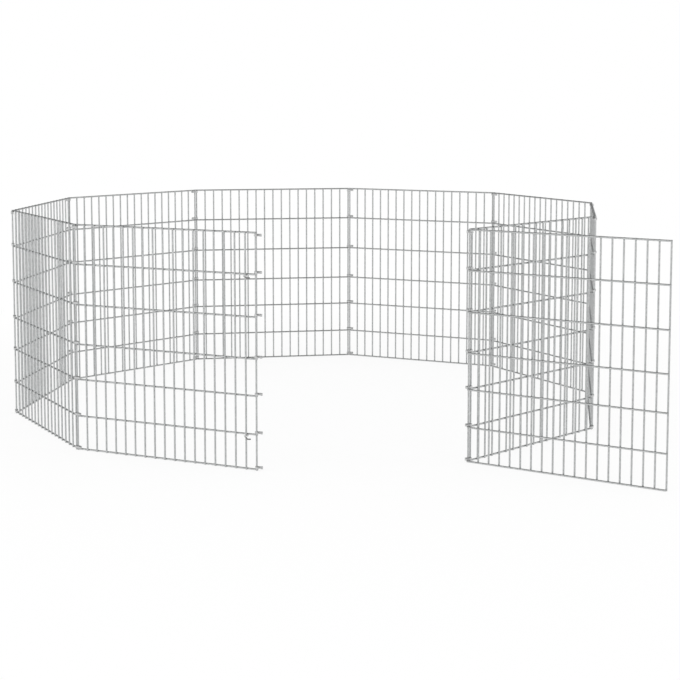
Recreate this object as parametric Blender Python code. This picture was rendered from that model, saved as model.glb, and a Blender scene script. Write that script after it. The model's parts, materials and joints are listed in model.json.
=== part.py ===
"""Folding wire pen for small animals: nine fixed panels in a ring and a door panel, swung open."""

import math

import bmesh
import bpy
from mathutils import Vector

# Wire panels, in metres
PANEL_COUNT = 10
PANEL_WIDTH = 0.540
UPRIGHT_COUNT = 19
FIELD_RADIUS = 0.0023
FRAME_EXTRA = 0.00015
LEVEL_OVERHANG = 0.0009
LEVEL_STEPS = (0.089, 0.098, 0.094, 0.1055, 0.107, 0.1045)
UPRIGHT_INSET = 0.0003

# Play between pieces that touch
CLEARANCE = 0.0003

# Oblong rings that hold two end uprights side by side, with play for wires that turn in them
PAIR_SPACING = 0.0065
RING_PLAY = 0.0005
RING_WALL = 0.0015
RING_HEIGHT = 0.0062
RING_ARC_STEPS = 3
DOOR_RING_REACH = 0.0115
FOLD_RING_LEVELS = (1, 3, 5, 7)

# Open rings that catch the free upright of the closed door
CATCH_MOUTH = 0.0066

# Latch hooks on the panel beside the doorway
LATCH_NAMES = ("upper", "lower")
LATCH_LEVELS = (2, 6)
LATCH_RADIUS = 0.0018
LATCH_BEND = 0.0045
LATCH_TAIL = 0.002
LATCH_PLAY = 0.0006
LATCH_EYE_TURN = 250.0
LATCH_SIDES = 8

# Angles, in degrees
CORNER_TURN = 360.0 / PANEL_COUNT
DOOR_OPEN = 136.0
LATCH_OPEN = 50.0
FOLD_INWARD = 136.0
FOLD_OUTWARD = 204.0
SHARP_EDGE = 61.0

# How far apart two end uprights lie once their panels are folded flat
FOLDED_SPACING_INWARD = 0.0147
FOLDED_SPACING_OUTWARD = 0.0057

# Derived sizes; where field wires cross they just clear each other, and frame wires are fused
UPRIGHT_PITCH = PANEL_WIDTH / (UPRIGHT_COUNT - 1)
FRAME_RADIUS = FIELD_RADIUS + FRAME_EXTRA
FRAME_FLAT = FRAME_RADIUS * math.cos(math.radians(30.0))
LEVEL_DEPTH = 2.0 * FIELD_RADIUS + 0.5 * FRAME_EXTRA
PANEL_HEIGHT = sum(LEVEL_STEPS) + 2.0 * FRAME_FLAT
LEVEL_COUNT = len(LEVEL_STEPS) + 1
RING_HALF_SLOT = FRAME_RADIUS + RING_PLAY
RING_HALF_WIDTH = RING_HALF_SLOT + RING_WALL
FOLD_RING_REACH = FOLDED_SPACING_INWARD + CLEARANCE
ROOT_PANEL = PANEL_COUNT // 2
LAST_FIXED_PANEL = PANEL_COUNT - 1


def level_height(level):
    """Height of a level wire's centre; level 1 is the top wire."""
    return FRAME_FLAT + sum(LEVEL_STEPS[: LEVEL_COUNT - level])


def ring_height(level):
    """Height of a ring's underside: on its level wire, but under the top one."""
    reach = FRAME_RADIUS + CLEARANCE
    if level == 1:
        return level_height(level) - reach - RING_HEIGHT
    return level_height(level) + reach


def turned(length, degrees):
    """A level vector of this length, turned from +X."""
    angle = math.radians(degrees)
    return Vector((length * math.cos(angle), length * math.sin(angle), 0.0))


def arc_points(centre, radius, start, end, steps):
    """Points along an arc in the XY plane, both ends included."""
    angles = [start + (end - start) * step / steps for step in range(steps + 1)]
    return [centre + turned(radius, angle) for angle in angles]


def clear_scene():
    for old in list(bpy.data.objects):
        bpy.data.objects.remove(old, do_unlink=True)


def make_material(name, colour, roughness, metallic):
    material = bpy.data.materials.new(name)
    material.use_nodes = True
    shader = material.node_tree.nodes["Principled BSDF"]
    shader.inputs["Base Color"].default_value = (*colour, 1.0)
    shader.inputs["Roughness"].default_value = roughness
    shader.inputs["Metallic"].default_value = metallic
    return material


def finish_mesh(bm, name):
    """Turns a bmesh into a mesh with its faces out and round edges smooth."""
    bmesh.ops.recalc_face_normals(bm, faces=bm.faces)
    mesh = bpy.data.meshes.new(name)
    bm.to_mesh(mesh)
    bm.free()
    mesh.shade_smooth()
    mesh.set_sharp_from_angle(angle=math.radians(SHARP_EDGE))
    return mesh


def add_six_sided_bar(bm, start, end, radius, facing):
    """A drawn wire from start to end, with one of its six ridges looking along facing."""
    across = (end - start).normalized().cross(facing)
    rings = []
    for centre in (start, end):
        ring = []
        for side in range(6):
            angle = math.radians(60.0 * side)
            offset = facing * math.cos(angle) + across * math.sin(angle)
            ring.append(bm.verts.new(centre + offset * radius))
        rings.append(ring)
    for side in range(6):
        after = (side + 1) % 6
        bm.faces.new((rings[0][side], rings[0][after], rings[1][after], rings[1][side]))
    bm.faces.new(rings[0])
    bm.faces.new(rings[1])


def upright_bars():
    """All uprights of a panel, with a ridge to the level wires; the two at its ends are stouter."""
    bm = bmesh.new()
    for number in range(UPRIGHT_COUNT):
        x = number * UPRIGHT_PITCH
        foot = Vector((x, 0.0, UPRIGHT_INSET))
        head = Vector((x, 0.0, PANEL_HEIGHT - UPRIGHT_INSET))
        radius = FRAME_RADIUS if number in (0, UPRIGHT_COUNT - 1) else FIELD_RADIUS
        add_six_sided_bar(bm, foot, head, radius, Vector((0.0, -1.0, 0.0)))
    return finish_mesh(bm, "upright_bars")


def level_bars():
    """All level wires of a panel, with a ridge to the uprights; the top and bottom are stouter."""
    bm = bmesh.new()
    for level in range(1, LEVEL_COUNT + 1):
        z = level_height(level)
        start = Vector((-LEVEL_OVERHANG, -LEVEL_DEPTH, z))
        end = Vector((PANEL_WIDTH + LEVEL_OVERHANG, -LEVEL_DEPTH, z))
        radius = FRAME_RADIUS if level in (1, LEVEL_COUNT) else FIELD_RADIUS
        add_six_sided_bar(bm, start, end, radius, Vector((0.0, 1.0, 0.0)))
    return finish_mesh(bm, "level_bars")


def welded_panel_mesh():
    """A panel's grid, fused wherever a stout frame wire crosses; the thinner wires just meet."""
    uprights = bpy.data.objects.new("uprights", upright_bars())
    levels = bpy.data.objects.new("levels", level_bars())
    for bars in (uprights, levels):
        bpy.context.scene.collection.objects.link(bars)
    weld = levels.modifiers.new("weld", "BOOLEAN")
    weld.operation = "UNION"
    weld.solver = "EXACT"
    weld.object = uprights
    graph = bpy.context.evaluated_depsgraph_get()
    mesh = bpy.data.meshes.new_from_object(levels.evaluated_get(graph))
    mesh.name = "wire_panel"
    for bars in (levels, uprights):
        bpy.data.objects.remove(bars, do_unlink=True)
    mesh.shade_smooth()
    mesh.set_sharp_from_angle(angle=math.radians(SHARP_EDGE))
    return mesh


def extruded_mesh(name, loops, height):
    """A level plate of this height between an outline and, if there is one, the hole in it."""
    bm = bmesh.new()
    rims = []
    for outline in loops:
        low = [bm.verts.new(point) for point in outline]
        high = [bm.verts.new(point + Vector((0.0, 0.0, height))) for point in outline]
        rims.append((low, high))
        for number in range(len(outline)):
            after = (number + 1) % len(outline)
            bm.faces.new((low[number], low[after], high[after], high[number]))
    if len(loops) == 1:
        for rim in rims[0]:
            bm.faces.new(rim)
    else:
        for outer, inner in zip(rims[0], rims[1]):
            for number in range(len(outer)):
                after = (number + 1) % len(outer)
                bm.faces.new((outer[number], outer[after], inner[after], inner[number]))
    return finish_mesh(bm, name)


def oblong_ends(reach, half_width):
    """The two round ends of an oblong, the second one round the upright that holds it."""
    far = Vector((reach, 0.0, 0.0))
    return (
        arc_points(far, half_width, -90.0, 90.0, RING_ARC_STEPS),
        arc_points(Vector(), half_width, 90.0, 270.0, RING_ARC_STEPS),
    )


def ring_mesh(reach):
    """An oblong ring whose slot lets the second upright move this far from the first."""
    loops = [sum(oblong_ends(reach, half), []) for half in (RING_HALF_WIDTH, RING_HALF_SLOT)]
    return extruded_mesh("oblong_ring", loops, RING_HEIGHT)


def catch_mesh():
    """An oblong ring with a mouth in its -Y side, where the door's free upright comes in.

    The upright comes in at half a corner's turn, so the mouth lies further out than its place.
    """
    slant = math.tan(math.radians(0.5 * CORNER_TURN))
    middle = PAIR_SPACING + (RING_HALF_SLOT + 0.5 * RING_WALL) * slant
    near = middle - 0.5 * CATCH_MOUTH
    far = middle + 0.5 * CATCH_MOUTH
    walls = []
    for half in (RING_HALF_WIDTH, RING_HALF_SLOT):
        far_end, near_end = oblong_ends(DOOR_RING_REACH, half)
        lip_far = [Vector((far, -half, 0.0))]
        lip_near = [Vector((near, -half, 0.0))]
        walls.append(lip_far + far_end[1:] + near_end + lip_near)
    return extruded_mesh("door_catch", [walls[0] + walls[1][::-1]], RING_HEIGHT)


def latch_path():
    """The hook's centre line when closed: eye at the origin, arm along +X, outside at -Y."""
    eye = FRAME_RADIUS + CLEARANCE + LATCH_RADIUS
    lean = math.radians(0.5 * CORNER_TURN)
    door_wire = UPRIGHT_PITCH + PAIR_SPACING * math.cos(lean)
    tail_x = door_wire + FRAME_RADIUS + LATCH_RADIUS + LATCH_PLAY
    tail_y = PAIR_SPACING * math.sin(lean) + LATCH_TAIL
    bend = Vector((tail_x - LATCH_BEND, LATCH_BEND - eye, 0.0))
    path = arc_points(Vector(), eye, LATCH_EYE_TURN - 90.0, -90.0, LATCH_SIDES)[:-1]
    path += [Vector((0.0, -eye, 0.0))]
    path += arc_points(bend, LATCH_BEND, -90.0, 0.0, 3)
    return path + [Vector((tail_x, tail_y, 0.0))]


def latch_mesh():
    """A round wire swept along the hook's centre line."""
    path = latch_path()
    bm = bmesh.new()
    rings = []
    for number, point in enumerate(path):
        before = path[max(number - 1, 0)]
        after = path[min(number + 1, len(path) - 1)]
        side = (after - before).normalized().cross(Vector((0.0, 0.0, 1.0)))
        ring = []
        for corner in range(LATCH_SIDES):
            angle = 2.0 * math.pi * (corner + 0.5) / LATCH_SIDES
            offset = side * math.cos(angle) + Vector((0.0, 0.0, math.sin(angle)))
            ring.append(bm.verts.new(point + offset * LATCH_RADIUS))
        rings.append(ring)
    for ring, following in zip(rings, rings[1:]):
        for corner in range(LATCH_SIDES):
            after = (corner + 1) % LATCH_SIDES
            bm.faces.new((ring[corner], ring[after], following[after], following[corner]))
    bm.faces.new(rings[0])
    bm.faces.new(rings[-1])
    return finish_mesh(bm, "latch_hook")


def add_object(name, mesh, material, parent, location, degrees=0.0):
    """Links an object, or an empty where there is no mesh, below its parent."""
    piece = bpy.data.objects.new(name, mesh)
    bpy.context.scene.collection.objects.link(piece)
    piece.parent = parent
    piece.location = location
    piece.rotation_euler = (0.0, 0.0, math.radians(degrees))
    if mesh and not mesh.materials:
        mesh.materials.append(material)
    return piece


def fold_pole(inward):
    """The point between two uprights about which a fold turns the next panel.

    The ring turns half as far as the panel, so the panel's upright goes from its place at
    rest to its place once folded, and this is the one point that both places turn about.
    """
    turn = -FOLD_INWARD if inward else FOLD_OUTWARD
    folded = FOLDED_SPACING_INWARD if inward else FOLDED_SPACING_OUTWARD
    rest_direction = -0.5 * CORNER_TURN
    start = turned(PAIR_SPACING, rest_direction)
    end = turned(folded, rest_direction + 0.5 * turn)
    chord = end - start
    across = Vector((-chord.y, chord.x, 0.0))
    return 0.5 * (start + end) + across / (2.0 * math.tan(math.radians(0.5 * turn)))


def add_rings(line, levels, mesh, material, axis):
    for level in levels:
        place = (0.0, 0.0, ring_height(level))
        add_object(f"{line}_{level}", mesh, material, axis, place)


def add_fold_line(number, carrier, forward, panel, ring, wire, ring_steel):
    """Rings at one corner and the next panel, carried by the panel nearer the root.

    Forward goes from a panel to the one after it; backward is its mirror image.
    """
    way = 1.0 if forward else -1.0
    corner = Vector((PANEL_WIDTH if forward else 0.0, 0.0, 0.0))
    heading = -0.5 * CORNER_TURN if forward else 180.0 + 0.5 * CORNER_TURN
    axis = add_object(f"ring_axis_{number}", None, None, carrier, corner, heading)
    add_rings(f"fold_{number}_ring", FOLD_RING_LEVELS, ring, ring_steel, axis)

    pole = fold_pole(number % 2 == 0)
    pole.x *= way
    hinge = add_object(f"fold_axis_{number}", None, None, carrier, corner + pole)
    turn = -way * CORNER_TURN
    upright = turned(PAIR_SPACING, heading) - pole
    start = upright if forward else upright - turned(PANEL_WIDTH, turn)
    name = f"panel_{number + 1 if forward else number}"
    return add_object(name, panel, wire, hinge, start, turn)


def add_door(carrier, panel, wire, ring_steel):
    """The door turns on its own first upright, in rings that stay with the last fixed panel."""
    heading = -0.5 * CORNER_TURN
    corner = Vector((PANEL_WIDTH, 0.0, 0.0))
    rings = add_object("door_ring_axis", None, None, carrier, corner, heading)
    ring = ring_mesh(DOOR_RING_REACH)
    add_rings("door_hinge_ring", range(1, LEVEL_COUNT + 1), ring, ring_steel, rings)
    pivot = corner + turned(PAIR_SPACING, heading)
    hinge = add_object("door_axis", None, None, carrier, pivot, DOOR_OPEN - CORNER_TURN)
    add_object("door_panel", panel, wire, hinge, Vector())


def add_latch_side(carrier, ring_steel, latch_steel):
    """Catches on the first panel's free upright, and the two hooks beside it."""
    heading = 180.0 + 0.5 * CORNER_TURN
    axis = add_object("catch_axis", None, None, carrier, Vector(), heading)
    add_rings("door_catch", range(1, LEVEL_COUNT + 1), catch_mesh(), ring_steel, axis)
    hook = latch_mesh()
    for name, level in zip(LATCH_NAMES, LATCH_LEVELS):
        z = level_height(level) - FRAME_RADIUS - CLEARANCE - LATCH_RADIUS
        place = Vector((UPRIGHT_PITCH, 0.0, z))
        pivot = add_object(f"{name}_latch_axis", None, None, carrier, place, 180.0 - LATCH_OPEN)
        add_object(f"{name}_latch_hook", hook, latch_steel, pivot, Vector())


def centre_on_floor(root):
    """Moves the pen so that the origin is at the middle of its footprint."""
    bpy.context.view_layer.update()
    corners = []
    for piece in bpy.data.objects:
        if piece.type == "MESH":
            corners += [piece.matrix_world @ Vector(vertex.co) for vertex in piece.data.vertices]
    for axis in range(2):
        values = [corner[axis] for corner in corners]
        root.location[axis] -= 0.5 * (min(values) + max(values))


def build_pen():
    clear_scene()
    wire = make_material("galvanised_wire", (0.50, 0.51, 0.52), 0.42, 0.9)
    ring_steel = make_material("ring_steel", (0.42, 0.43, 0.44), 0.40, 0.9)
    latch_steel = make_material("latch_steel", (0.36, 0.37, 0.38), 0.38, 0.9)
    panel = welded_panel_mesh()
    ring = ring_mesh(FOLD_RING_REACH)

    root = add_object(f"panel_{ROOT_PANEL}", panel, wire, None, Vector())
    carrier = root
    for number in range(ROOT_PANEL - 1, 0, -1):
        carrier = add_fold_line(number, carrier, False, panel, ring, wire, ring_steel)
    add_latch_side(carrier, ring_steel, latch_steel)
    carrier = root
    for number in range(ROOT_PANEL, LAST_FIXED_PANEL):
        carrier = add_fold_line(number, carrier, True, panel, ring, wire, ring_steel)
    add_door(carrier, panel, wire, ring_steel)
    centre_on_floor(root)


build_pen()
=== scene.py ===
"""Visual model of a folding wire pen: welded panels, hinge rings, door catches and latch hooks."""

import json
import math

import bmesh
import bpy
from bpy.props import FloatProperty, FloatVectorProperty, IntProperty, PointerProperty
from mathutils import Matrix, Vector


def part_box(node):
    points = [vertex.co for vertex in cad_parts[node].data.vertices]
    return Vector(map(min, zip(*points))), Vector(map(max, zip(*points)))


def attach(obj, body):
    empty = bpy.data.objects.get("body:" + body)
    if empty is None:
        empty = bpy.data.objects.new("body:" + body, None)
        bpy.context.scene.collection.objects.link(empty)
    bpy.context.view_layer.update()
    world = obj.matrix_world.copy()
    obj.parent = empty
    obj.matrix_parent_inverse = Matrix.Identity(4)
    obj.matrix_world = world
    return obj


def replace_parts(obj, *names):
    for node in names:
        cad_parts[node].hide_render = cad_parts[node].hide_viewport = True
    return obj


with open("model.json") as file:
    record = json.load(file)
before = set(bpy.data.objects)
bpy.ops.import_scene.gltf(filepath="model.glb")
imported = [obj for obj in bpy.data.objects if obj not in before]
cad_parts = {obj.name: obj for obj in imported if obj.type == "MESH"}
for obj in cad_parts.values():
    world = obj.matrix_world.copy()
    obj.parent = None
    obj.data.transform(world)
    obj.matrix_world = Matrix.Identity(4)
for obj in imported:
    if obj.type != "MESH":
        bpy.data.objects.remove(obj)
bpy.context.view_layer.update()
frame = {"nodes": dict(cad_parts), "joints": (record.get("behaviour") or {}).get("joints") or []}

bl_info = {
    "name": "Folding wire pen",
    "version": (1, 0, 0),
    "blender": (4, 5, 0),
    "location": "3D View > Sidebar > Wire pen",
    "description": "Builds the wire panels, rings, catches, hooks and studio of a folding animal pen",
    "category": "Mesh",
}

# Counts and angles in degrees that the solids fix
PANEL_COUNT = 10
ROOT_PANEL = 5
UPRIGHT_COUNT = 19
FOLD_COUNT = 8
MODELLED_FOLD_LEVELS = (1, 3, 5, 7)
CORNER_TURN = 36.0
DOOR_TURN = -44.0
LATCH_TURN = -86.0
LATCH_EYE_START = 160.0
LATCH_EYE_END = -90.0

# Sizes that the solids fix, in metres
PANEL_WIDTH = 0.540
UPRIGHT_PITCH = PANEL_WIDTH / (UPRIGHT_COUNT - 1)
LEVEL_STEPS = (0.089, 0.098, 0.094, 0.1055, 0.107, 0.1045)
LEVEL_COUNT = len(LEVEL_STEPS) + 1
LEVEL_OVERHANG = 0.0009
UPRIGHT_INSET = 0.0003
FRAME_RADIUS = 0.00245
FRAME_FLAT = FRAME_RADIUS * math.cos(math.radians(30.0))
CLEARANCE = 0.0003
PAIR_SPACING = 0.0065
FOLD_RING_REACH = 0.015
DOOR_RING_REACH = 0.0115
RING_HEIGHT = 0.0062
CATCH_NEAR_LIP = 0.0044
CATCH_FAR_LIP = 0.0110
LATCH_PLAY = 0.0006

# Shares of a wire's radius
END_CHAMFER = 0.18
WELD_SPAN = 1.7
BEAD_DEPTH = 0.42
TIP_STEPS = (0.0, 0.3, 0.7)
TIP_FLAT = 0.12

# How finely round forms are divided, and the least angle of a sharp edge in degrees
BEND_STEPS = 14
EDGE_STEPS = 3
EYE_STEPS = 26
HOOK_BEND_STEPS = 9
HOOK_SIDES = 16
BEAD_SEGMENTS = 12
BEAD_RINGS = 7
STRIP_SHARP_EDGE = 40.0
WELD_SHARP_EDGE = 42.0
HOOK_SHARP_EDGE = 60.0

# Zinc coat: grain against the size of a crystal, and the spread of its greys and its gloss
PIECE_OFFSET = (7.0, 5.0, 3.0)
BLOOM_GRAIN = 0.09
SKIN_GRAIN = 2.4
CRYSTAL_SHARE = 0.55
BLOOM_SHARE = 0.45
DARKEST_GREY = 0.86
LIGHTEST_GREY = 1.12
GREY_ENDS = (0.15, 0.85)
GLOSS_LOW = -0.08
GLOSS_HIGH = 0.12
SKIN_DEPTH = 0.0002
SKIN_STRENGTH = 0.25
FITTING_SPANGLE = 0.5

# A hook's finish carries painted light: its light eye is a painted highlight, and its dark tip is
# painted shade
HOOK_PAINTED_SHADE_REACH = (0.006, 0.030)
HOOK_PAINTED_TIP_SHADE = 0.25

# Studio: the heights and distances over which ceiling and shadow fade, and the lamps
CEILING_FADE = (0.02, 0.32)
SHADOW_FADE = (1.4, 2.6)
FLOOR_HALF_SIZE = 30.0
FLOOR_WHITE = 0.95
FLOOR_ROUGHNESS = 0.9
SENSOR_WIDTH = 36.0
SOFTBOX_SIZE = (4.0, 3.0)
SOFTBOX_TARGET = (0.0, 0.2, 0.3)
SOFTBOXES = (
    ("left_softbox", (-4.8, -2.6, 1.9), 78.0),
    ("right_softbox", (4.8, -1.6, 1.9), 64.0),
)


class WireSettings(bpy.types.PropertyGroup):
    diameter: FloatProperty(
        name="Wire thickness",
        description="Thickness of the drawn wire of the panels",
        default=0.0047,
        min=0.001,
        unit="LENGTH",
    )
    weld_sink: FloatProperty(
        name="Weld depth",
        description="How far two crossing wires are pressed into each other",
        default=0.0004,
        min=0.0,
        unit="LENGTH",
    )
    bead_radius: FloatProperty(
        name="Weld bead",
        description="Radius of the flattened bead where two wires are welded",
        default=0.00235,
        min=0.0,
        unit="LENGTH",
    )
    sides: IntProperty(
        name="Wire sides",
        description="Number of faces round a wire",
        default=12,
        min=6,
        max=32,
    )


class FittingSettings(bpy.types.PropertyGroup):
    ring_half_slot: FloatProperty(
        name="Half slot",
        description="Half the width of the slot that an oblong ring leaves for the wires",
        default=0.0028,
        unit="LENGTH",
    )
    ring_wall: FloatProperty(
        name="Ring strip",
        description="Thickness of the strip that the rings are bent from",
        default=0.0014,
        unit="LENGTH",
    )
    ring_edge: FloatProperty(
        name="Ring edge",
        description="Rounding of the edges of the strip",
        default=0.00045,
        unit="LENGTH",
    )
    ring_seam: FloatProperty(
        name="Ring seam",
        description="Gap where the two ends of a bent ring meet",
        default=0.0003,
        unit="LENGTH",
    )
    hook_radius: FloatProperty(
        name="Hook wire radius",
        description="Radius of the bent wire of the latch hooks",
        default=0.0018,
        unit="LENGTH",
    )
    hook_bend: FloatProperty(
        name="Hook bend",
        description="Radius of the bend at the end of a latch hook",
        default=0.0045,
        unit="LENGTH",
    )
    hook_tail: FloatProperty(
        name="Hook tail",
        description="How far the tail of a hook reaches past the wire that it holds",
        default=0.002,
        unit="LENGTH",
    )


class FinishSettings(bpy.types.PropertyGroup):
    wire_colour: FloatVectorProperty(
        name="Galvanised wire",
        description="Colour of the zinc coat on the panels",
        subtype="COLOR",
        default=(0.50, 0.51, 0.51),
        min=0.0,
        max=1.0,
    )
    ring_colour: FloatVectorProperty(
        name="Ring steel",
        description="Colour of the plated strip of the rings",
        subtype="COLOR",
        default=(0.54, 0.545, 0.545),
        min=0.0,
        max=1.0,
    )
    # The hooks' colour is much lighter than the plated wire: a painted highlight that shows at their
    # eyes
    latch_painted_highlight_colour: FloatVectorProperty(
        name="Latch steel",
        description="Colour of the plated wire of the hooks",
        subtype="COLOR",
        default=(0.84, 0.845, 0.845),
        min=0.0,
        max=1.0,
    )
    spangle_size: FloatProperty(
        name="Spangle size",
        description="Size of the crystals in the zinc coat",
        default=0.004,
        min=0.0005,
        unit="LENGTH",
    )


class StudioSettings(bpy.types.PropertyGroup):
    camera_place: FloatVectorProperty(
        name="Camera place",
        description="Where the camera stands",
        subtype="TRANSLATION",
        unit="LENGTH",
        default=(-0.7737, -4.5621, 0.9571),
    )
    camera_pitch: FloatProperty(
        name="Camera pitch",
        description="How far the camera looks down",
        subtype="ANGLE",
        default=math.radians(6.0),
    )
    camera_yaw: FloatProperty(
        name="Camera yaw",
        description="How far the camera is turned to the right of the +Y direction",
        subtype="ANGLE",
        default=0.1795,
    )
    lens: FloatProperty(
        name="Lens",
        description="Focal length of the camera in millimetres",
        unit="CAMERA",
        default=84.64,
    )
    shift: FloatProperty(
        name="Vertical shift",
        description="Upward shift of the camera's view, as a share of its width",
        default=-0.124,
    )
    light_level: FloatProperty(
        name="Room light",
        description="Strength of the light from all round",
        default=0.9,
    )
    ceiling: FloatProperty(
        name="Ceiling",
        description="Brightness of the ceiling against the walls",
        subtype="FACTOR",
        default=0.06,
        min=0.0,
        max=1.0,
    )
    shadow_share: FloatProperty(
        name="Shadow",
        description="How much of the object's shadow the floor keeps",
        subtype="FACTOR",
        default=0.16,
        min=0.0,
        max=1.0,
    )


def level_height(level):
    """Height of a level wire's middle above the floor; level 1 is the top wire."""
    return FRAME_FLAT + sum(LEVEL_STEPS[: LEVEL_COUNT - level])


def panel_turn(number):
    """Turn of a fixed panel about Z."""
    return (ROOT_PANEL - number) * CORNER_TURN


def heading_before(number):
    """Heading from a panel's first upright to the panel before it, halfway round the corner."""
    return panel_turn(number) + 180.0 + 0.5 * CORNER_TURN


def heading_after(number):
    """Heading from a panel's last upright to the panel after it, halfway round the corner."""
    return panel_turn(number) - 0.5 * CORNER_TURN


def panel_place(node, degrees):
    """Where a panel's first upright stands, found on its solid turned back to lie along X."""
    back = Matrix.Rotation(-math.radians(degrees), 4, "Z")
    points = [back @ vertex.co for vertex in frame["nodes"][node].data.vertices]
    x = min(point.x for point in points) + FRAME_FLAT
    y = max(point.y for point in points) - FRAME_RADIUS
    z = min(point.z for point in points)
    return back.inverted() @ Matrix.Translation((x, y, z))


def ring_place(node, degrees, reach):
    """Where the upright that holds a ring stands, at the ring's underside."""
    low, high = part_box(node)
    middle = Vector((0.5 * (low.x + high.x), 0.5 * (low.y + high.y), low.z))
    back = Matrix.Rotation(math.radians(degrees), 4, "Z") @ Vector((-0.5 * reach, 0.0, 0.0))
    return Matrix.Translation(middle + back)


def turned_copy(mesh, degrees):
    """A copy of the mesh that is itself turned, so that its piece needs no turn."""
    copy = mesh.copy()
    copy.transform(Matrix.Rotation(math.radians(degrees), 4, "Z"))
    return copy


def link(name, mesh, place, body):
    """A piece at its place, riding on its body."""
    piece = bpy.data.objects.new(name, mesh)
    bpy.context.scene.collection.objects.link(piece)
    piece.matrix_world = place
    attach(piece, body)
    return piece


def to_mesh(bm, name, sharp_edge=STRIP_SHARP_EDGE):
    """A smooth shaded mesh with its faces out, sharp where its faces meet at a larger angle."""
    bmesh.ops.recalc_face_normals(bm, faces=bm.faces)
    mesh = bpy.data.meshes.new(name)
    bm.to_mesh(mesh)
    bm.free()
    mesh.shade_smooth()
    mesh.set_sharp_from_angle(angle=math.radians(sharp_edge))
    return mesh


def skin(bm, rings):
    """Faces between the rings in turn, and a cap at both ends."""
    loops = [[bm.verts.new(point) for point in ring] for ring in rings]
    count = len(loops[0])
    for loop, following in zip(loops, loops[1:]):
        for number in range(count):
            after = (number + 1) % count
            bm.faces.new((loop[number], loop[after], following[after], following[number]))
    bm.faces.new(loops[0])
    bm.faces.new(loops[-1])


def circle_ring(centre, side, up, radius, sides):
    """Points of a circle in the plane of side and up."""
    ring = []
    for number in range(sides):
        angle = 2.0 * math.pi * (number + 0.5) / sides
        ring.append(centre + (side * math.cos(angle) + up * math.sin(angle)) * radius)
    return ring


def add_wire(bm, start, along, length, stops, radius, sides):
    """A straight wire with chamfered ends and a loop of points beside each weld."""
    side = along.orthogonal().normalized()
    up = along.cross(side)
    chamfer = END_CHAMFER * radius
    beside = WELD_SPAN * radius
    steps = [(0.0, radius - chamfer), (chamfer, radius)]
    for stop in stops:
        for step in (stop - beside, stop + beside):
            if 3.0 * chamfer < step < length - 3.0 * chamfer:
                steps.append((step, radius))
    steps += [(length - chamfer, radius), (length, radius - chamfer)]
    rings = [circle_ring(start + along * step, side, up, size, sides) for step, size in steps]
    skin(bm, rings)


def add_bead(bm, centre, radius, depth):
    """A flattened ball at a weld; it lies in the plane between the two wires."""
    shape = Matrix.Translation(centre) @ Matrix.Diagonal((radius, depth, radius, 1.0))
    bmesh.ops.create_uvsphere(
        bm, u_segments=BEAD_SEGMENTS, v_segments=BEAD_RINGS, radius=1.0, matrix=shape
    )


def panel_parts(settings):
    """The three sets of bodies that a welded panel is made from: uprights, levels and beads."""
    radius = 0.5 * settings.diameter
    depth = settings.diameter - settings.weld_sink
    xs = [PANEL_WIDTH * number / (UPRIGHT_COUNT - 1) for number in range(UPRIGHT_COUNT)]
    heights = [level_height(level) for level in range(LEVEL_COUNT, 0, -1)]
    heights[0] += radius - FRAME_FLAT
    heights[-1] -= radius - FRAME_FLAT
    upright_length = heights[-1] + radius - 2.0 * UPRIGHT_INSET
    level_length = PANEL_WIDTH + 2.0 * LEVEL_OVERHANG
    upright_stops = [height - UPRIGHT_INSET for height in heights]
    level_stops = [x + LEVEL_OVERHANG for x in xs]
    rightward, upward = Vector((1.0, 0.0, 0.0)), Vector((0.0, 0.0, 1.0))
    uprights, levels, beads = bmesh.new(), bmesh.new(), bmesh.new()
    for x in xs:
        foot = Vector((x, 0.0, UPRIGHT_INSET))
        add_wire(uprights, foot, upward, upright_length, upright_stops, radius, settings.sides)
    for height in heights:
        start = Vector((-LEVEL_OVERHANG, -depth, height))
        add_wire(levels, start, rightward, level_length, level_stops, radius, settings.sides)
        for x in xs:
            weld = Vector((x, -0.5 * depth, height))
            add_bead(beads, weld, settings.bead_radius, BEAD_DEPTH * radius)
    return uprights, levels, beads


def welded(name, parts):
    """One closed mesh out of several sets of bodies."""
    objects = []
    for number, bm in enumerate(parts):
        part = bpy.data.objects.new(f"{name}_{number}", to_mesh(bm, f"{name}_{number}"))
        bpy.context.scene.collection.objects.link(part)
        objects.append(part)
    base = objects[0]
    for other in objects[1:]:
        union = base.modifiers.new("union", "BOOLEAN")
        union.operation = "UNION"
        union.solver = "MANIFOLD"
        union.object = other
    graph = bpy.context.evaluated_depsgraph_get()
    mesh = bpy.data.meshes.new_from_object(base.evaluated_get(graph))
    mesh.name = name
    for part in objects:
        bpy.data.objects.remove(part, do_unlink=True)
    mesh.shade_smooth()
    mesh.set_sharp_from_angle(angle=math.radians(WELD_SHARP_EDGE))
    return mesh


def arc(centre, radius, start, end, steps):
    """Points along a level arc, both ends included; angles in degrees."""
    points = []
    for step in range(steps + 1):
        angle = math.radians(start + (end - start) * step / steps)
        points.append(centre + Vector((radius * math.cos(angle), radius * math.sin(angle), 0.0)))
    return points


def strip_section(settings):
    """Rounded outline of the ring strip: offsets out from its middle line and up."""
    half_wall = 0.5 * settings.ring_wall
    edge = settings.ring_edge
    section = []
    corners = ((1.0, 1.0, 0.0), (-1.0, 1.0, 90.0), (-1.0, -1.0, 180.0), (1.0, -1.0, 270.0))
    for out, up, start in corners:
        centre = Vector((out * (half_wall - edge), up * (0.5 * RING_HEIGHT - edge), 0.0))
        section += arc(centre, edge, start, start + 90.0, EDGE_STEPS)
    return section


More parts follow.
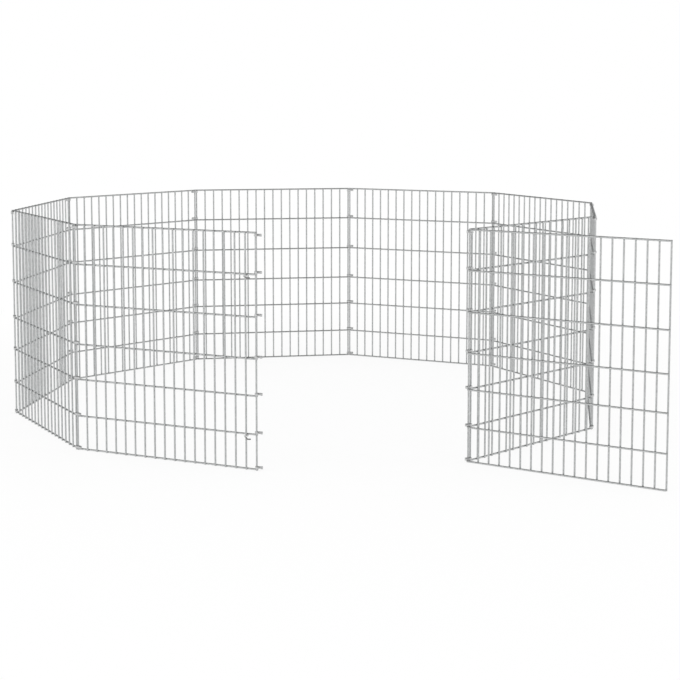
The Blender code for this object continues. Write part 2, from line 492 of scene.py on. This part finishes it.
def swept_strip(name, path, settings):
    """A strip bent along a level path, standing on its edge."""
    up = Vector((0.0, 0.0, 1.0))
    middle = 0.5 * RING_HEIGHT * up
    section = strip_section(settings)
    rings = []
    for number, point in enumerate(path):
        before = path[max(number - 1, 0)]
        after = path[min(number + 1, len(path) - 1)]
        along = (after - before).normalized()
        out = along.cross(up)
        rings.append([point + middle + out * spot.x + up * spot.y for spot in section])
    bm = bmesh.new()
    skin(bm, rings)
    return to_mesh(bm, name)


def ring_path(settings, reach):
    """Middle line of the oblong ring, from one side of its seam round to the other."""
    half = settings.ring_half_slot + 0.5 * settings.ring_wall
    far = Vector((reach, 0.0, 0.0))
    seam = 0.5 * reach
    gap = 0.5 * settings.ring_seam
    path = [Vector((seam - gap, half, 0.0)), Vector((0.25 * reach, half, 0.0))]
    path += arc(Vector(), half, 90.0, 270.0, BEND_STEPS)
    path += arc(far, half, -90.0, 90.0, BEND_STEPS)
    return path + [Vector((0.75 * reach, half, 0.0)), Vector((seam + gap, half, 0.0))]


def catch_path(settings):
    """Middle line of a catch, from the far lip of its mouth round to the near lip."""
    half = settings.ring_half_slot + 0.5 * settings.ring_wall
    far = Vector((DOOR_RING_REACH, 0.0, 0.0))
    path = [Vector((CATCH_FAR_LIP, -half, 0.0))]
    path += arc(far, half, -90.0, 90.0, BEND_STEPS)
    path += arc(Vector(), half, 90.0, 270.0, BEND_STEPS)
    return path + [Vector((x, -half, 0.0)) for x in (0.5 * CATCH_NEAR_LIP, CATCH_NEAR_LIP)]


def hook_path(settings):
    """Middle line of a closed hook: its eye round the origin, its arm along +X and its tail."""
    radius = settings.hook_radius
    eye = FRAME_RADIUS + CLEARANCE + radius
    lean = math.radians(0.5 * CORNER_TURN)
    held = UPRIGHT_PITCH + PAIR_SPACING * math.cos(lean)
    tail_x = held + FRAME_RADIUS + radius + LATCH_PLAY
    tail_y = PAIR_SPACING * math.sin(lean) + settings.hook_tail
    bend = Vector((tail_x - settings.hook_bend, settings.hook_bend - eye, 0.0))
    path = arc(Vector(), eye, LATCH_EYE_START, LATCH_EYE_END, EYE_STEPS)
    path += [Vector((share * bend.x, -eye, 0.0)) for share in (0.25, 0.5, 0.75)]
    path += arc(bend, settings.hook_bend, -90.0, 0.0, HOOK_BEND_STEPS)
    return path + [Vector((tail_x, tail_y, 0.0))]


def swept_wire(name, path, radius, sides):
    """A round wire along a level path, with rounded ends."""
    rings = []
    last = len(path) - 1
    up = Vector((0.0, 0.0, 1.0))
    for number, point in enumerate(path):
        before = path[max(number - 1, 0)]
        after = path[min(number + 1, last)]
        along = (after - before).normalized()
        side = along.cross(up)
        ends = {0: (-1.0, TIP_STEPS), last: (1.0, TIP_STEPS[::-1])}
        if number in ends:
            sign, steps = ends[number]
            for step in steps:
                rise = math.sqrt(1.0 - (1.0 - step) ** 2) * (1.0 - TIP_FLAT) + TIP_FLAT
                back = point - along * sign * radius * step
                rings.append(circle_ring(back, side, up, radius * rise, sides))
        else:
            rings.append(circle_ring(point, side, up, radius, sides))
    bm = bmesh.new()
    skin(bm, rings)
    return to_mesh(bm, name, HOOK_SHARP_EDGE)


def operation_node(nodes, kind, operation):
    """A new node of this kind, set to one operation."""
    node = nodes.new(kind)
    node.operation = operation
    return node


def range_node(nodes, before, after, interpolation="LINEAR"):
    """A new node that maps the range before onto the range after."""
    node = nodes.new("ShaderNodeMapRange")
    node.interpolation_type = interpolation
    for name, value in zip(("From Min", "From Max", "To Min", "To Max"), (*before, *after)):
        node.inputs[name].default_value = value
    return node


def zinc_finish(name, colour, roughness, metallic, spangle):
    """Zinc coat: crystals of slightly different grey, dull blooms, and a faintly uneven skin."""
    material = bpy.data.materials.new(name)
    material.use_nodes = True
    nodes, links = material.node_tree.nodes, material.node_tree.links
    shader = nodes["Principled BSDF"]
    shader.inputs["Metallic"].default_value = metallic
    coordinates = nodes.new("ShaderNodeTexCoord")
    info = nodes.new("ShaderNodeObjectInfo")
    spread = operation_node(nodes, "ShaderNodeVectorMath", "MULTIPLY_ADD")
    spread.inputs[1].default_value = PIECE_OFFSET
    links.new(info.outputs["Random"], spread.inputs[0])
    links.new(coordinates.outputs["Object"], spread.inputs[2])

    crystals = nodes.new("ShaderNodeTexVoronoi")
    crystals.inputs["Scale"].default_value = 1.0 / spangle
    blooms = nodes.new("ShaderNodeTexNoise")
    blooms.inputs["Scale"].default_value = BLOOM_GRAIN / spangle
    blooms.inputs["Detail"].default_value = 5.0
    skin_noise = nodes.new("ShaderNodeTexNoise")
    skin_noise.inputs["Scale"].default_value = SKIN_GRAIN / spangle
    skin_noise.inputs["Detail"].default_value = 3.0
    for texture in (crystals, blooms, skin_noise):
        links.new(spread.outputs["Vector"], texture.inputs["Vector"])

    grain = nodes.new("ShaderNodeSeparateColor")
    links.new(crystals.outputs["Color"], grain.inputs["Color"])
    bloom_part = operation_node(nodes, "ShaderNodeMath", "MULTIPLY")
    bloom_part.inputs[1].default_value = BLOOM_SHARE
    links.new(blooms.outputs["Fac"], bloom_part.inputs[0])
    blend = operation_node(nodes, "ShaderNodeMath", "MULTIPLY_ADD")
    blend.inputs[1].default_value = CRYSTAL_SHARE
    links.new(grain.outputs["Red"], blend.inputs[0])
    links.new(bloom_part.outputs["Value"], blend.inputs[2])

    ramp = nodes.new("ShaderNodeValToRGB")
    dark, light = ramp.color_ramp.elements
    dark.position, light.position = GREY_ENDS
    dark.color = (*(channel * DARKEST_GREY for channel in colour), 1.0)
    light.color = (*(min(channel * LIGHTEST_GREY, 1.0) for channel in colour), 1.0)
    links.new(blend.outputs["Value"], ramp.inputs["Fac"])
    links.new(ramp.outputs["Color"], shader.inputs["Base Color"])

    gloss = range_node(nodes, (0.0, 1.0), (roughness + GLOSS_LOW, roughness + GLOSS_HIGH))
    links.new(blooms.outputs["Fac"], gloss.inputs["Value"])
    links.new(gloss.outputs["Result"], shader.inputs["Roughness"])

    bump = nodes.new("ShaderNodeBump")
    bump.inputs["Strength"].default_value = SKIN_STRENGTH
    bump.inputs["Distance"].default_value = SKIN_DEPTH
    links.new(skin_noise.outputs["Fac"], bump.inputs["Height"])
    links.new(bump.outputs["Normal"], shader.inputs["Normal"])
    return material


def paint_shade_to_tip(material, reach, least):
    """Paints shade into a finish along its piece's X axis over this reach, darkening it down to the
    least share.
    """
    nodes, links = material.node_tree.nodes, material.node_tree.links
    base = nodes["Principled BSDF"].inputs["Base Color"]
    colour = base.links[0].from_socket
    coordinates = nodes.new("ShaderNodeTexCoord")
    split = nodes.new("ShaderNodeSeparateXYZ")
    links.new(coordinates.outputs["Object"], split.inputs["Vector"])
    painted_shade_ramp = range_node(nodes, reach, (1.0, least))
    links.new(split.outputs["X"], painted_shade_ramp.inputs["Value"])
    painted_shade_colour = operation_node(nodes, "ShaderNodeVectorMath", "SCALE")
    links.new(colour, painted_shade_colour.inputs[0])
    links.new(painted_shade_ramp.outputs["Result"], painted_shade_colour.inputs["Scale"])
    links.new(painted_shade_colour.outputs["Vector"], base)


class PEN_OT_wire_panels(bpy.types.Operator):
    """Builds the ten welded wire panels, the last of them the door"""

    bl_idname = "pen.wire_panels"
    bl_label = "Wire panels"

    def execute(self, context):
        settings, finish = context.scene.pen_wire, context.scene.pen_finish
        mesh = welded("welded_wire_panel", panel_parts(settings))
        mesh.materials.clear()
        zinc = zinc_finish(
            "galvanised_zinc", finish.wire_colour,
            roughness=0.42, metallic=0.85, spangle=finish.spangle_size,
        )
        mesh.materials.append(zinc)
        for number in range(1, PANEL_COUNT):
            node = f"panel_{number}"
            place = panel_place(node, panel_turn(number))
            piece = link(f"wire_panel_{number}", mesh, place, node)
            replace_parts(piece, node)
        place = Matrix.Translation(panel_place("door_panel", DOOR_TURN).translation)
        mesh = turned_copy(mesh, DOOR_TURN)
        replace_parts(link("wire_panel_door", mesh, place, "door"), "door_panel")
        return {"FINISHED"}


class PEN_OT_hinge_rings(bpy.types.Operator):
    """Builds the oblong rings of the eight fold lines and of the door's hinge line"""

    bl_idname = "pen.hinge_rings"
    bl_label = "Hinge rings"

    def execute(self, context):
        settings, finish = context.scene.pen_fitting, context.scene.pen_finish
        zinc = zinc_finish(
            "plated_strip", finish.ring_colour,
            roughness=0.38, metallic=0.85, spangle=FITTING_SPANGLE * finish.spangle_size,
        )
        fold_ring, door_ring = (
            swept_strip(f"{name}_oblong_ring", ring_path(settings, reach), settings)
            for name, reach in (("fold", FOLD_RING_REACH), ("door", DOOR_RING_REACH))
        )
        for mesh in (fold_ring, door_ring):
            mesh.materials.append(zinc)
        door_heading = heading_after(PANEL_COUNT - 1)
        door_ring = turned_copy(door_ring, door_heading)
        for level in range(1, LEVEL_COUNT + 1):
            node = f"door_hinge_ring_{level}"
            place = ring_place(node, door_heading, DOOR_RING_REACH)
            piece = link(f"door_ring_{level}", door_ring, place, "panel_9")
            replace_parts(piece, node)
        for line in range(1, FOLD_COUNT + 1):
            self.add_line(line, fold_ring)
        return {"FINISHED"}

    def add_line(self, line, mesh):
        """Seven rings at one corner, each as high as the door's ring of the same level."""
        heading = heading_before(line + 1) if line < ROOT_PANEL else heading_after(line)
        body = f"fold_{line}_rings"
        mesh = turned_copy(mesh, heading)
        for level in range(1, LEVEL_COUNT + 1):
            modelled = level in MODELLED_FOLD_LEVELS
            node = f"fold_{line}_ring_{level if modelled else 1}"
            place = ring_place(node, heading, FOLD_RING_REACH)
            place.translation.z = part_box(f"door_hinge_ring_{level}")[0].z
            piece = link(f"corner_{line}_ring_{level}", mesh, place, body)
            if modelled:
                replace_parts(piece, node)


class PEN_OT_door_catches(bpy.types.Operator):
    """Builds the seven open rings that the free side of the door closes into"""

    bl_idname = "pen.door_catches"
    bl_label = "Door catches"

    def execute(self, context):
        settings, finish = context.scene.pen_fitting, context.scene.pen_finish
        mesh = swept_strip("open_catch", catch_path(settings), settings)
        zinc = zinc_finish(
            "plated_catch", finish.ring_colour,
            roughness=0.38, metallic=0.85, spangle=FITTING_SPANGLE * finish.spangle_size,
        )
        mesh.materials.append(zinc)
        heading = heading_before(1)
        mesh = turned_copy(mesh, heading)
        for level in range(1, LEVEL_COUNT + 1):
            node = f"door_catch_{level}"
            place = ring_place(node, heading, DOOR_RING_REACH)
            piece = link(f"catch_{level}", mesh, place, "panel_1")
            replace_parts(piece, node)
        return {"FINISHED"}


class PEN_OT_latch_hooks(bpy.types.Operator):
    """Builds the two bent wire hooks that hold the closed door"""

    bl_idname = "pen.latch_hooks"
    bl_label = "Latch hooks"

    def execute(self, context):
        settings, finish = context.scene.pen_fitting, context.scene.pen_finish
        mesh = swept_wire("bent_hook", hook_path(settings), settings.hook_radius, HOOK_SIDES)
        # The hook's light colour is a painted highlight at its eye
        zinc = zinc_finish(
            "hook_painted_highlight_and_shade", finish.latch_painted_highlight_colour,
            roughness=0.45, metallic=0.35, spangle=FITTING_SPANGLE * finish.spangle_size,
        )
        # Painted shade: the hook's colour darkens from its eye toward its tip
        paint_shade_to_tip(zinc, HOOK_PAINTED_SHADE_REACH, HOOK_PAINTED_TIP_SHADE)
        mesh.materials.append(zinc)
        turn = Matrix.Rotation(math.radians(LATCH_TURN), 4, "Z")
        pivots = {joint["child"]: Vector(joint["pos_m"]) for joint in frame["joints"]}
        for body in ("upper_latch", "lower_latch"):
            place = Matrix.Translation(pivots[body]) @ turn
            piece = link(f"{body}_wire", mesh, place, body)
            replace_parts(piece, f"{body}_hook")
        return {"FINISHED"}


def seen_or_reflected(nodes, links):
    """1 for what the camera sees, straight or by gloss or through glass; 0 for light that falls."""
    path = nodes.new("ShaderNodeLightPath")
    total = path.outputs["Is Camera Ray"]
    for output in ("Is Glossy Ray", "Is Transmission Ray"):
        larger = operation_node(nodes, "ShaderNodeMath", "MAXIMUM")
        links.new(total, larger.inputs[0])
        links.new(path.outputs[output], larger.inputs[1])
        total = larger.outputs["Value"]
    return total


def white_room(level, ceiling):
    """Even light from all round, and for mirrored rays white walls below a darker ceiling."""
    world = bpy.data.worlds.new("white_room")
    bpy.context.scene.world = world
    world.use_nodes = True
    nodes, links = world.node_tree.nodes, world.node_tree.links
    coordinates = nodes.new("ShaderNodeTexCoord")
    split = nodes.new("ShaderNodeSeparateXYZ")
    links.new(coordinates.outputs["Generated"], split.inputs["Vector"])
    height = range_node(nodes, CEILING_FADE, (1.0, ceiling), "SMOOTHSTEP")
    links.new(split.outputs["Z"], height.inputs["Value"])

    mirrored = nodes.new("ShaderNodeMix")
    mirrored.inputs["A"].default_value = level
    links.new(seen_or_reflected(nodes, links), mirrored.inputs["Factor"])
    links.new(height.outputs["Result"], mirrored.inputs["B"])
    path = nodes.new("ShaderNodeLightPath")
    seen = operation_node(nodes, "ShaderNodeMath", "MAXIMUM")
    links.new(path.outputs["Is Camera Ray"], seen.inputs[0])
    links.new(mirrored.outputs["Result"], seen.inputs[1])
    links.new(seen.outputs["Value"], nodes["Background"].inputs["Strength"])
    nodes["Background"].inputs["Color"].default_value = (1.0, 1.0, 1.0, 1.0)


def white_floor(shadow_share):
    """A white floor that takes part of the shadow of what stands on it."""
    bm = bmesh.new()
    bmesh.ops.create_grid(bm, x_segments=1, y_segments=1, size=FLOOR_HALF_SIZE)
    floor = bpy.data.objects.new("studio_floor", to_mesh(bm, "studio_floor"))
    bpy.context.scene.collection.objects.link(floor)
    material = bpy.data.materials.new("white_floor")
    material.use_nodes = True
    nodes, links = material.node_tree.nodes, material.node_tree.links
    paint = nodes["Principled BSDF"]
    paint.inputs["Base Color"].default_value = (FLOOR_WHITE, FLOOR_WHITE, FLOOR_WHITE, 1.0)
    paint.inputs["Roughness"].default_value = FLOOR_ROUGHNESS
    glow = nodes.new("ShaderNodeEmission")
    coordinates = nodes.new("ShaderNodeTexCoord")
    away = operation_node(nodes, "ShaderNodeVectorMath", "LENGTH")
    links.new(coordinates.outputs["Object"], away.inputs[0])
    edge = range_node(nodes, SHADOW_FADE, (1.0 - shadow_share, 1.0), "SMOOTHSTEP")
    links.new(away.outputs["Value"], edge.inputs["Value"])
    share = operation_node(nodes, "ShaderNodeMath", "MULTIPLY")
    links.new(edge.outputs["Result"], share.inputs[1])
    links.new(seen_or_reflected(nodes, links), share.inputs[0])
    mix = nodes.new("ShaderNodeMixShader")
    links.new(share.outputs["Value"], mix.inputs["Fac"])
    links.new(paint.outputs["BSDF"], mix.inputs[1])
    links.new(glow.outputs["Emission"], mix.inputs[2])
    links.new(mix.outputs["Shader"], nodes["Material Output"].inputs["Surface"])
    floor.data.materials.append(material)


def softbox(name, place, power):
    """A large soft lamp that looks at the middle of the pen."""
    light = bpy.data.lights.new(name, "AREA")
    light.shape = "RECTANGLE"
    light.size, light.size_y = SOFTBOX_SIZE
    light.energy = power
    lamp = bpy.data.objects.new(name, light)
    lamp.location = place
    aim = Vector(SOFTBOX_TARGET) - Vector(place)
    lamp.rotation_euler = aim.to_track_quat("-Z", "Y").to_euler()
    bpy.context.scene.collection.objects.link(lamp)


class PEN_OT_studio(bpy.types.Operator):
    """Sets up the white floor and room, the soft lights and the camera"""

    bl_idname = "pen.studio"
    bl_label = "Studio"

    def execute(self, context):
        settings = context.scene.pen_studio
        white_floor(settings.shadow_share)
        white_room(settings.light_level, settings.ceiling)
        for name, place, power in SOFTBOXES:
            softbox(name, place, power)

        camera = bpy.data.cameras.new("studio_camera")
        camera.sensor_width = SENSOR_WIDTH
        camera.lens = settings.lens
        camera.shift_y = settings.shift
        viewer = bpy.data.objects.new("studio_camera", camera)
        viewer.location = settings.camera_place
        level = math.radians(90.0)
        viewer.rotation_euler = (level - settings.camera_pitch, 0.0, -settings.camera_yaw)
        context.scene.collection.objects.link(viewer)
        context.scene.camera = viewer
        context.scene.view_settings.view_transform = "Standard"
        return {"FINISHED"}


class PEN_PT_sidebar(bpy.types.Panel):
    """Lists the pieces of the pen and the sizes and colours that can be changed"""

    bl_idname = "PEN_PT_sidebar"
    bl_label = "Wire pen"
    bl_space_type = "VIEW_3D"
    bl_region_type = "UI"
    bl_category = "Wire pen"

    def draw(self, context):
        scene = context.scene
        groups = (
            (scene.pen_wire, (PEN_OT_wire_panels,)),
            (scene.pen_fitting, (PEN_OT_hinge_rings, PEN_OT_door_catches, PEN_OT_latch_hooks)),
            (scene.pen_finish, ()),
            (scene.pen_studio, (PEN_OT_studio,)),
        )
        for group, operators in groups:
            box = self.layout.box()
            for name in group.__annotations__:
                box.prop(group, name)
            for operator in operators:
                box.operator(operator.bl_idname)


GROUPS = {
    "pen_wire": WireSettings,
    "pen_fitting": FittingSettings,
    "pen_finish": FinishSettings,
    "pen_studio": StudioSettings,
}
OPERATORS = (
    PEN_OT_wire_panels,
    PEN_OT_hinge_rings,
    PEN_OT_door_catches,
    PEN_OT_latch_hooks,
    PEN_OT_studio,
)


def register():
    for cls in (*GROUPS.values(), *OPERATORS, PEN_PT_sidebar):
        bpy.utils.register_class(cls)
    for name, group in GROUPS.items():
        setattr(bpy.types.Scene, name, PointerProperty(type=group))


def unregister():
    for name in GROUPS:
        delattr(bpy.types.Scene, name)
    for cls in reversed((*GROUPS.values(), *OPERATORS, PEN_PT_sidebar)):
        bpy.utils.unregister_class(cls)


def main():
    register()
    bpy.ops.pen.wire_panels()
    bpy.ops.pen.hinge_rings()
    bpy.ops.pen.door_catches()
    bpy.ops.pen.latch_hooks()
    bpy.ops.pen.studio()


if __name__ == "__main__":
    main()
